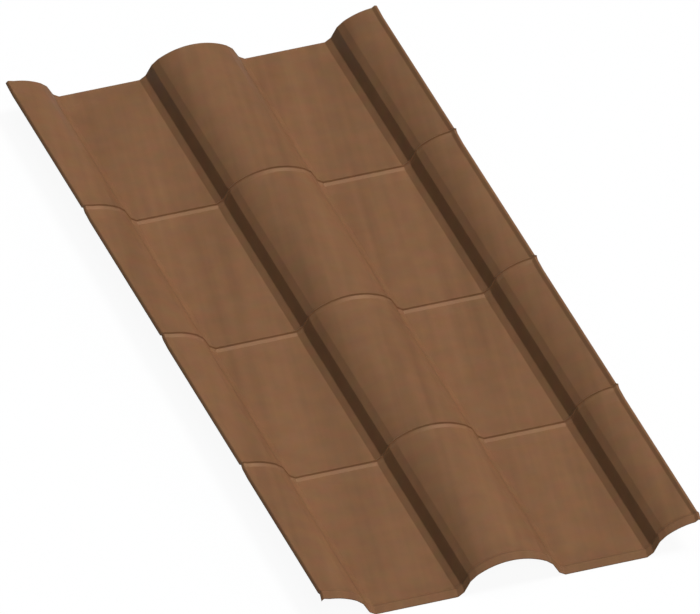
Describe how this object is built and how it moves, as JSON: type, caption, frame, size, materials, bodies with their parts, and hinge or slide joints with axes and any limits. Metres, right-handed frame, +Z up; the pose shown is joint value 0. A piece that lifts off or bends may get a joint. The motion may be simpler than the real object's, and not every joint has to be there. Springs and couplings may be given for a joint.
{
  "type": "metal roof shingle panel",
  "caption": "Pressed sheet metal roof panel, formed across into rounded barrels and flat pans and along into stepped shingle courses, with a folded eave lip.",
  "frame": {"origin": "centre of the panel's plan, on the floor that its eave lip stands on", "axes": "+Y up the roof slope towards the head edge, -Y towards the eave lip, +X across the panel towards the side edge with the narrower and sharper bead, +Z up out of the roof"},
  "size_m": [0.6096, 1.4478, 0.0622],
  "materials": {
    "coated_sheet": "matte brown bronze coating with faint soft streaks"
  },
  "bodies": {
    "root": {"shingle_panel": "coated_sheet"}
  },
  "joints": []
}
